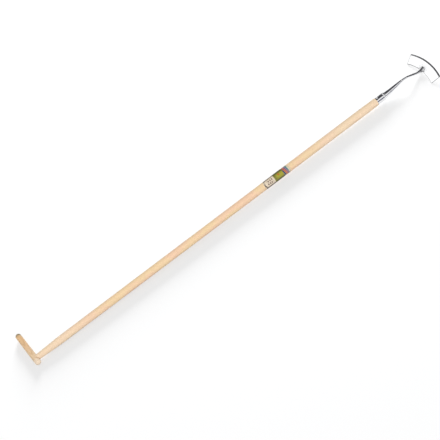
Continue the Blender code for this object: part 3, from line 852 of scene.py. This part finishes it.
def make_blade(face, ground):
    """The band with its corners and rim eased. All but its level faces show the ground finish."""
    mesh = blade_band()
    work = bmesh.new()
    work.from_mesh(mesh)
    work.normal_update()
    ease(work, upright_corners(work), BLADE_CORNER_ROUND)
    ease(work, upper_rim(work), BLADE_RIM_ROUND)
    for item in work.faces:
        item.material_index = 0 if abs(item.normal.z) >= LEVEL_SLOPE else 1
    work.to_mesh(mesh)
    work.free()
    smooth(mesh, SHARP_BLADE)
    blade = mesh_piece(mesh, ARC_PLACE)
    soften = blade.modifiers.new("soften", "BEVEL")
    soften.width = BLADE_EDGE_ROUND
    soften.segments = 2
    soften.limit_method = "ANGLE"
    soften.angle_limit = math.radians(SHARP_BLADE)
    soften.harden_normals = True
    stand_in(blade, "blade", "blade_steel", face, ground)


# Materials, written as arithmetic on wires between nodes.


class Wire:
    """A number or colour that flows between nodes."""

    def __init__(self, graph, socket):
        self.graph = graph
        self.socket = socket

    def __add__(self, other):
        return self.graph.math("ADD", self, other)

    def __sub__(self, other):
        return self.graph.math("SUBTRACT", self, other)

    def __mul__(self, other):
        return self.graph.math("MULTIPLY", self, other)

    def __truediv__(self, other):
        return self.graph.math("DIVIDE", self, other)

    def __abs__(self):
        return self.graph.math("ABSOLUTE", self)

    def below(self, limit):
        return self.graph.math("LESS_THAN", self, limit)

    def above(self, limit):
        return self.graph.math("GREATER_THAN", self, limit)

    def within(self, low, high):
        return self.above(low) * self.below(high)

    def fading(self, start, end, low=0.0, high=1.0):
        """Goes smoothly from low to high as this number goes from start to end."""
        inputs = {"Value": self, 1: start, 2: end, 3: low, 4: high}
        return self.graph.wire("MapRange", inputs, interpolation_type="SMOOTHSTEP")

    def parts(self):
        node = self.graph.add("SeparateXYZ", {0: self})
        return [Wire(self.graph, out) for out in node.outputs]


class Graph:
    """The node tree of a material or of the world."""

    def __init__(self, tree):
        self.tree = tree

    def add(self, kind, inputs, **settings):
        node = self.tree.nodes.new("ShaderNode" + kind)
        for name, value in settings.items():
            setattr(node, name, value)
        for name, value in inputs.items():
            self.feed(node.inputs[name], value)
        return node

    def feed(self, socket, value):
        if isinstance(value, Wire):
            self.tree.links.new(value.socket, socket)
        else:
            socket.default_value = value

    def wire(self, kind, inputs, output=0, **settings):
        return Wire(self, self.add(kind, inputs, **settings).outputs[output])

    def math(self, operation, a, b=0.0):
        return self.wire("Math", {0: a, 1: b}, operation=operation)

    def mix(self, amount, low, high):
        low, high = [value if isinstance(value, Wire) else (*value, 1.0) for value in (low, high)]
        return self.wire("Mix", {0: amount, 6: low, 7: high}, output=2, data_type="RGBA")

    def reach(self, a, b):
        """How far a place lies from the origin, in the plane of these two coordinates."""
        return self.math("SQRT", a * a + b * b)

    def place(self, source="Object"):
        return Wire(self, self.add("TexCoord", {}).outputs[source])

    def spot(self, frame=TOOL):
        """The place on the tool, in the tool's own frame or in another one."""
        origin, turn = frame.to_translation(), frame.to_euler()
        return self.moved(self.place(), "TEXTURE", Location=origin, Rotation=turn)

    def moved(self, vector, kind="POINT", **inputs):
        return self.wire("Mapping", {"Vector": vector, **inputs}, vector_type=kind)

    def stretched(self, vector, grain, lengthwise, across):
        """The place scaled one way along the grain's axis and another way across it."""
        return self.moved(vector, Scale=[lengthwise if axis == grain else across for axis in "XYZ"])

    def noise(self, vector, scale=1.0, detail=3.0, roughness=0.5):
        inputs = {"Vector": vector, "Scale": scale, "Detail": detail, "Roughness": roughness}
        return self.wire("TexNoise", inputs)


def material(name, **values):
    """A Principled material with these socket values, and its graph."""
    made = bpy.data.materials.new(name)
    made.use_nodes = True
    graph = Graph(made.node_tree)
    graph.shader = made.node_tree.nodes["Principled BSDF"]
    for socket, value in values.items():
        graph.shader.inputs[socket.replace("_", " ")].default_value = value
    return made, graph


def surface(graph, colour, roughness, height, depth, strength=1.0):
    """Gives a material its colour, roughness and bump."""
    bump = graph.wire("Bump", {"Height": height, "Distance": depth, "Strength": strength})
    for name, value in {"Base Color": colour, "Roughness": roughness, "Normal": bump}.items():
        graph.feed(graph.shader.inputs[name], value)


def growth_rings(graph, spot, grain):
    """Rises from 0 to 1 over each year's ring, round a pith beside the piece."""
    bent = graph.moved(spot, Location=PITH_OFFSET, Rotation=GRAIN_TILT[grain])
    inputs = {
        "Vector": graph.stretched(bent, grain, *RING_STRETCH),
        "Scale": RING_SCALE,
        "Distortion": 2.6,
        "Detail": 2.0,
        "Detail Scale": 0.16,
    }
    settings = {"wave_type": "RINGS", "rings_direction": grain, "wave_profile": "SAW"}
    return graph.wire("TexWave", inputs, output=1, **settings)


def make_wood(name, grain, light, dark, warm, marks=None):
    """Ring-porous ash. Its grain follows the axis named by grain."""
    made, graph = material(name)
    spot = graph.spot()
    rings = growth_rings(graph, spot, grain)
    early = rings.fading(0.55, 0.98) * rings.below(0.995)
    fibre = graph.noise(graph.stretched(spot, grain, *FIBRE_SCALES), detail=2.0)
    pore = graph.noise(graph.stretched(spot, grain, *PORE_SCALES), detail=1.0).fading(0.60, 0.70)
    cloud = graph.noise(graph.stretched(spot, grain, *CLOUD_SCALES), detail=2.0).fading(0.38, 0.62)
    colour = graph.mix(cloud, light, warm)
    if marks:
        colour = marks(graph, spot, colour)
    colour = graph.mix(early * 0.45, colour, dark)
    colour = graph.mix(fibre.fading(0.35, 0.75) * 0.18, colour, dark)
    colour = graph.mix(pore * (early * 0.6 + 0.12), colour, PORE_BROWN)
    height = (pore * -1.0) * (early * 0.7 + 0.3) - fibre * 0.25
    surface(graph, colour, fibre * 0.16 + pore * 0.12 + 0.40, height, PORE_DEPTH, 0.7)
    return made


def shaft_marks(graph, spot, colour):
    """The shaft is paler at both ends. Glue and painted shade make a dark line at the saddle by the
    grip.
    """
    x, y, z = spot.parts()
    ends = graph.math("MAXIMUM", x.fading(*REAR_PALING), x.fading(*FRONT_PALING))
    colour = graph.mix(ends * 0.75, colour, PALE_WOOD)
    # Painted shade with glue: a dark line round the saddle, only on the -Y side.
    line = graph.reach(x, z).fading(*SADDLE_GLUE_AND_SHADE) * y.fading(*SHADED_JOINT_SIDE)
    return graph.mix(line * 0.55, colour, GLUE_AND_SHADE_BROWN)


def grip_marks(graph, spot, colour):
    """The grip pales to its stub and greys at its long arm's end. Glue and painted shade line the
    saddle.
    """
    x, y, z = spot.parts()
    colour = graph.mix(y.fading(*GRIP_PALING) * 0.35, colour, PALE_STUB)
    colour = graph.mix(y.fading(*STUB_PALING) * 0.8, colour, PALE_STUB)
    mottled = graph.noise(spot, scale=260.0)
    edge = y + x * 0.30 + z * 0.20 + (mottled - 0.5) * 0.006
    colour = graph.mix(edge.fading(*STAIN_EDGE) * 0.85, colour, GREY_WEAR)
    # Painted shade with glue: a dark line round the shaft's seat, only on the -Y side.
    glue_and_shade = graph.reach(y, z).within(*SEAM_GLUE_AND_SHADE) * x.above(0.0)
    return graph.mix(glue_and_shade * y.fading(*SHADED_JOINT_SIDE) * 0.5, colour, GLUE_AND_SHADE_BROWN)


def satin_bead(graph, spot):
    """The rear slope of the ferrule's bead keeps a dull rolled finish."""
    x, _, _ = spot.parts()
    ahead = x - (SHAFT_REACH + FERRULE_LENGTH - FERRULE_BEAD_LENGTH)
    return ahead.fading(*BEAD_SATIN_REAR) * ahead.fading(*BEAD_SATIN_FRONT) * SATIN_AMOUNT


def satin_foot(graph, spot):
    """The forged wings beside the rod aren't polished."""
    x, y, _ = spot.parts()
    beside = abs(y).fading(NECK_RADIUS * 0.98, NECK_RADIUS * 1.12)
    return beside * (x - FOOT_START).fading(-FOOT_SATIN_FADE, FOOT_SATIN_FADE) * WING_SATIN


def satin_weld_zone(graph, spot):
    """The blade is dulled round its welds, where they were brushed clean."""
    x, y, _ = spot.parts()
    middle_x = SHAFT_REACH + on_blade(-(FLARE_REAR_BACK + FLARE_FRONT_BACK) / 2, 0).x
    away = graph.reach((x - middle_x) / ZONE_HALF_LENGTH, y / ZONE_HALF_WIDTH)
    return away.fading(1.3, 0.9) * SATIN_AMOUNT


def darkened_foot(graph, spot):
    """Darker on the rod's end and along the rear edge of the foot's -Y wing."""
    x, y, _ = spot.parts()
    ahead = x - FOOT_START
    rod = abs(y).fading(NECK_RADIUS * 1.02, NECK_RADIUS * 0.90) * ahead.fading(*ROD_DARKENING_FADE)
    from_edge = ahead / math.cos(BLADE_PITCH) + (y + NECK_RADIUS) * WING_SLANT
    wing = from_edge.fading(*WING_DARKENING_FADE) * y.fading(-NECK_RADIUS, -NECK_RADIUS * 1.2)
    return graph.math("MAXIMUM", rod * ROD_DARKENING, wing * WING_DARKENING)


def on_arc(graph):
    """A place on the blade by the arc's centre: its x and height, its angle and its radius."""
    x, y, z = graph.spot(TOOL @ ARC_PLACE).parts()
    return x, z, graph.math("ARCTAN2", y, x), graph.reach(x, y)


def painted_rim_shade(graph, spot):
    """Painted shade: a thin dark line along the cut rim of the blade's +Y half."""
    _, _, angle, radius = on_arc(graph)
    from_end = (angle * -1.0 + BLADE_HALF_ANGLE) * BLADE_RADIUS
    from_back = radius - (BLADE_RADIUS - BLADE_DEPTH)
    back = from_back.fading(*RIM_SHADE_FADE) * angle.fading(0.02, 0.06)
    return graph.math("MAXIMUM", from_end.fading(*RIM_SHADE_FADE), back) * RIM_SHADE_AMOUNT


def make_steel(name, colour, roughness, scratch_scale, scratch, satin=None, scale=None, metallic=1.0):
    """Stainless steel with fine scratches one way, smudges, satin places and places painted dark."""
    made, graph = material(name, Metallic=metallic)
    spot = graph.spot()
    lines = graph.noise(graph.moved(spot, Scale=scratch_scale), roughness=0.6)
    smudge = graph.noise(spot, scale=85.0, detail=2.0)
    shade = graph.mix(smudge.fading(0.35, 0.7) * 0.25, colour, tuple(value * 0.86 for value in colour))
    if satin:
        graph.feed(graph.shader.inputs["Metallic"], satin(graph, spot) * -1.0 + 1.0)
    # What the scale argument gives is painted dark: painted shade on the blade's rim, darker places on
    # the foot.
    if scale:
        shade = graph.mix(scale(graph, spot), shade, DARK_SHADE_AND_TONE)
    surface(graph, shade, lines * 0.10 + smudge * 0.06 + (roughness - 0.08), lines, scratch)
    return made


def make_ground_edge():
    """The bevel: coarse grinding lines that cross it. The rim of the cut sheet is painted dark as shade.
    """
    made, graph = material("ground_edge")
    x, z, angle, radius = on_arc(graph)
    lines = graph.noise(graph.wire("CombineXYZ", {0: angle * 2600.0, 1: x * 30.0}), detail=2.0)
    shade = graph.mix(lines, (0.42, 0.425, 0.435), (0.68, 0.69, 0.70))
    # Painted shade: the rim's faces behind the bevel are painted dark and made less metallic.
    rim = radius.below(BLADE_RADIUS - BEVEL_WIDTH - 0.0003) * z.above(-BLADE_RIM_ROUND)
    shade = graph.mix(rim, shade, DARK_SHADE_AND_TONE)
    graph.feed(graph.shader.inputs["Metallic"], angle.fading(0.14, 0.33, 1.0, 0.65) * (rim * -0.6 + 1.0))
    surface(graph, shade, lines * 0.16 + 0.18, lines, 0.00003)
    return made


def make_weld_steel():
    """Weld metal: mottled, duller than the sheet, with straw and blue heat colours."""
    made, graph = material("weld_steel", Metallic=0.25)
    spot = graph.spot()
    patch = graph.noise(spot, scale=420.0)
    heat = graph.mix(patch.fading(0.35, 0.65), (0.78, 0.74, 0.67), (0.72, 0.73, 0.77))
    shade = graph.mix(graph.noise(spot, scale=1500.0), heat, (0.88, 0.88, 0.88))
    surface(graph, shade, patch * 0.3 + 0.22, graph.noise(spot, scale=2600.0), 0.00005)
    return made


def make_nail_steel():
    """A plain wire nail with specks of rust."""
    made, graph = material("nail_steel", Metallic=1.0)
    rust = graph.noise(graph.spot(), scale=900.0)
    shade = graph.mix(rust.fading(0.5, 0.7), (0.33, 0.33, 0.34), (0.20, 0.12, 0.08))
    surface(graph, shade, rust * 0.4 + 0.25, rust, 0.00003)
    return made


def striped_patch(graph, u, v):
    """Four slanted colour stripes with pale gaps."""
    s = (u - STRIPES_START) / STRIPES_LENGTH + v * 0.22
    colour = graph.mix(s.above(0.25), NAVY, ORANGE)
    colour = graph.mix(s.above(0.50), colour, VIOLET)
    colour = graph.mix(s.above(0.75), colour, TEAL)
    gap = graph.math("FRACT", s * 4.0).above(0.84)
    return graph.mix(gap * 0.6, colour, PALE_FILM)


def cream_field(graph, u, v, side):
    """A cream field with two rows of plain bars, and a printed brown rim with painted shade on its low
    side.
    """
    arc = graph.math("SQRT", graph.math("MAXIMUM", v * v * -1.6 + 1.0, 0.0))
    from_end = u + (arc - 1.0) * (PRINT_END_LENGTH / LABEL_LENGTH)
    bars = graph.math("FRACT", u * 15.0 + v.above(0.0) * 0.5).below(0.55)
    bars = bars * u.within(*BARS) * side.within(0.05, 0.38)
    cream = graph.mix(bars * 0.92, CREAM, PRINT_BROWN)
    # The rim is print; painted shade makes it darker towards the label's low edge and the end's lower
    # half.
    sides = side.within(0.58, 0.95) * v.fading(-0.20, 0.20, 0.95, 0.70)
    end = from_end.within(0.010, 0.048) * v.fading(0.35, 0.0, 0.25, 0.95)
    return graph.mix(graph.math("MAXIMUM", sides, end), cream, RIM_PRINT_AND_SHADE_BROWN)


def green_field(graph, u, v, side):
    """A green field with dark sides, fine slanted lines and one orange lozenge."""
    green = graph.mix(side.fading(0.55, 0.20) * u.fading(0.44, 0.52), OLIVE, LIME)
    green = graph.mix(side.fading(0.46, 0.62), green, DEEP_OLIVE)
    line = graph.math("FRACT", u * 30.0 - v * 1.5).below(0.3)
    green = graph.mix(line * 0.3, green, DEEP_OLIVE)
    lozenge = abs(u - LOZENGE_CENTRE) * 28.0 + abs(v - 0.20) * 4.5
    return graph.mix(lozenge.below(1.0) * 0.9, green, ORANGE)


def make_label_print():
    """A generic print, placed by u, from 0 to 1 along the label, and v, from -1 to 1 across it."""
    made, graph = material("label_print", Coat_Weight=0.2, Coat_Roughness=0.18)
    spot = graph.spot()
    x, y, z = spot.parts()
    u = (x - (LABEL_CENTRE - LABEL_LENGTH / 2)) / LABEL_LENGTH
    v = (graph.math("ARCTAN2", z, y * -1.0) - LABEL_FACING) / LABEL_WRAP
    side = abs(v)
    cream = cream_field(graph, u, v, side)
    colour = graph.mix(u.above(CREAM_END), cream, green_field(graph, u, v, side))
    patch = graph.mix(side.fading(0.70, 0.82), striped_patch(graph, u, v), PALE_FILM)
    colour = graph.mix(u.above(STRIPES_START), colour, patch)
    colour = graph.mix(u.above(CLEAR_START), colour, PALE_FILM)
    wear = graph.noise(spot, scale=700.0)
    colour = graph.mix(wear.fading(0.60, 0.80) * 0.20, colour, CREAM)
    surface(graph, colour, wear * 0.2 + 0.35, wear, 0.00002)
    return made


# The studio.


def looked_at(graph):
    """1 for what is seen straight, mirrored or through glass, and 1 for what is mirrored."""
    outputs = graph.add("LightPath", {}).outputs
    names = ("Is Camera Ray", "Is Glossy Ray", "Is Transmission Ray")
    straight, mirrored, through = [Wire(graph, outputs[name]) for name in names]
    return graph.math("MINIMUM", straight + mirrored + through, 1.0), mirrored


def make_floor():
    """A pale floor. What looks at it straight or in a reflection also sees the studio's plain white."""
    mesh = bpy.data.meshes.new("floor")
    work = bmesh.new()
    bmesh.ops.create_grid(work, x_segments=1, y_segments=1, size=FLOOR_SIZE / 2)
    work.to_mesh(mesh)
    work.free()
    floor = new_object("floor", mesh)
    made, graph = material("floor_paper", Base_Color=(*FLOOR_COLOUR, 1.0), Specular_IOR_Level=0.0)
    seen, _ = looked_at(graph)
    white = graph.add("Emission", {"Color": (1, 1, 1, 1), "Strength": 1.0})
    both = graph.add("MixShader", {0: seen * FLOOR_WHITENESS})
    graph.tree.links.new(graph.shader.outputs[0], both.inputs[1])
    graph.tree.links.new(white.outputs[0], both.inputs[2])
    graph.tree.links.new(both.outputs[0], graph.tree.nodes["Material Output"].inputs[0])
    mesh.materials.append(made)
    return floor


def make_room():
    """A white room. Polished metal mirrors it dark, apart from its white front, strips and soft box."""
    world = bpy.data.worlds.new("studio")
    bpy.context.scene.world = world
    world.use_nodes = True
    graph = Graph(world.node_tree)
    background = world.node_tree.nodes["Background"]
    direction = graph.place("Generated")
    x, y, z = direction.parts()
    front = x.fading(*FRONT_LEFT) * x.fading(*FRONT_RIGHT) * y.fading(*FRONT_BACK)
    card = x.fading(*CARD_LEFT) * x.fading(*CARD_RIGHT) * z.fading(*CARD_TOP)
    low = graph.math("MAXIMUM", z.fading(*FRONT_LOW), x.fading(*CARD_LEFT) * x.fading(*CARD_RIGHT))
    strip = graph.math("MAXIMUM", y.fading(*STRIP_FRONT) * z.fading(*STRIP_TOP), x.fading(*SIDE_LEFT))
    box = graph.wire("VectorMath", {0: direction, 1: SOFT_BOX}, output=1, operation="DOT_PRODUCT")
    mirrored = graph.mix(front * low, MIRROR_DARK, graph.mix(card, (1, 1, 1), MIRROR_CARD))
    mirrored = graph.mix(strip, mirrored, (1, 1, 1))
    mirrored = graph.mix(box.fading(*SOFT_BOX_EDGE), mirrored, SOFT_BOX_WHITE)
    seen, glossy = looked_at(graph)
    graph.feed(background.inputs["Color"], graph.mix(glossy, (1, 1, 1), mirrored))
    graph.feed(background.inputs["Strength"], seen * (1 - ROOM_LEVEL) + ROOM_LEVEL)


def make_lamp(name, place, size, watts):
    """A soft square lamp that looks at the middle of the tool, and that nothing mirrors."""
    data = bpy.data.lights.new(name, "AREA")
    data.shape = "SQUARE"
    data.size = size
    data.energy = watts
    lamp = new_object(name, data)
    lamp.location = place
    lamp.rotation_euler = (-Vector(place)).to_track_quat("-Z", "Y").to_euler()
    lamp.visible_camera = False
    lamp.visible_glossy = False
    return lamp


def light_only(lamp, receivers):
    """The lamp's light, and so its shadows, reach these objects alone."""
    lit = bpy.data.collections.new(lamp.name + "_receivers")
    for receiver in receivers:
        lit.objects.link(receiver)
    lamp.light_linking.receiver_collection = lit


def make_camera():
    """The camera of the photograph's view."""
    data = bpy.data.cameras.new("camera")
    data.sensor_width = CAMERA_SENSOR
    data.lens = CAMERA_LENS
    camera = new_object("camera", data)
    level = math.cos(CAMERA_ELEVATION)
    right = math.sin(CAMERA_AZIMUTH) * level
    away = math.cos(CAMERA_AZIMUTH) * level
    view = Vector((right, away, -math.sin(CAMERA_ELEVATION)))
    aim = view.to_track_quat("-Z", "Y").to_matrix().to_4x4() @ Matrix.Rotation(CAMERA_ROLL, 4, "Z")
    camera.matrix_world = Matrix.Translation(Vector(CAMERA_TARGET) - view * CAMERA_DISTANCE) @ aim
    bpy.context.scene.camera = camera


def dress(node, finish):
    """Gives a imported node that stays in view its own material."""
    slots = frame["nodes"][node].data.materials
    slots.clear()
    slots.append(finish)


def build():
    """Makes the materials and the pieces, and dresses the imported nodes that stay."""
    shaft_wood = make_wood("ash_shaft", "X", SHAFT_LIGHT, SHAFT_DARK, SHAFT_WARM, shaft_marks)
    grip_wood = make_wood("ash_grip", "Y", GRIP_LIGHT, GRIP_DARK, GRIP_WARM, grip_marks)
    wedge_wood = make_wood("wedge_wood", "X", GRIP_DARK, PORE_BROWN, GRIP_WARM)
    turned = (0.16, (1800, 60, 60), 0.000002)
    turned_steel = make_steel("turned_steel", POLISHED, *turned, satin_bead)
    cone_steel = make_steel("cone_steel", POLISHED, 0.18, (900, 120, 120), 0.000006)
    drawn = (0.20, (60, 900, 900), 0.000008)
    rod_steel = make_steel("rod_steel", ROD_GREY, *drawn, satin_foot, darkened_foot)
    brushed = (0.18, (900, 60, 60), 0.000006)
    blade_steel = make_steel("blade_steel", BLADE_GREY, *brushed, satin_weld_zone, painted_rim_shade)
    hammered = (0.34, (900, 900, 900), 0.000006)
    rivet_steel = make_steel("rivet_steel", RIVET_GREY, *hammered, metallic=0.1)
    weld_steel = make_weld_steel()

    make_shaft(shaft_wood)
    make_grip(grip_wood)
    make_label(make_label_print())
    make_ferrule(turned_steel)
    make_socket(cone_steel)
    make_rivet(rivet_steel)
    make_neck(rod_steel)
    make_socket_weld(weld_steel)
    make_blade(blade_steel, make_ground_edge())
    make_blade_weld("blade_weld_left", 1, weld_steel)
    make_blade_weld("blade_weld_right", -1, weld_steel)
    dress("grip_wedge", wedge_wood)
    dress("grip_nail", make_nail_steel())


def stage():
    """The floor, the room, a lamp for the tool, one for the floor with its shadows, and the camera."""
    tool = [item for item in bpy.context.scene.objects if item.type == "MESH"]
    floor = make_floor()
    make_room()
    light_only(make_lamp("front_lamp", *FRONT_LAMP), tool)
    light_only(make_lamp("floor_lamp", *FLOOR_LAMP), [floor])
    make_camera()
    bpy.context.scene.view_settings.view_transform = "Standard"


build()
stage()
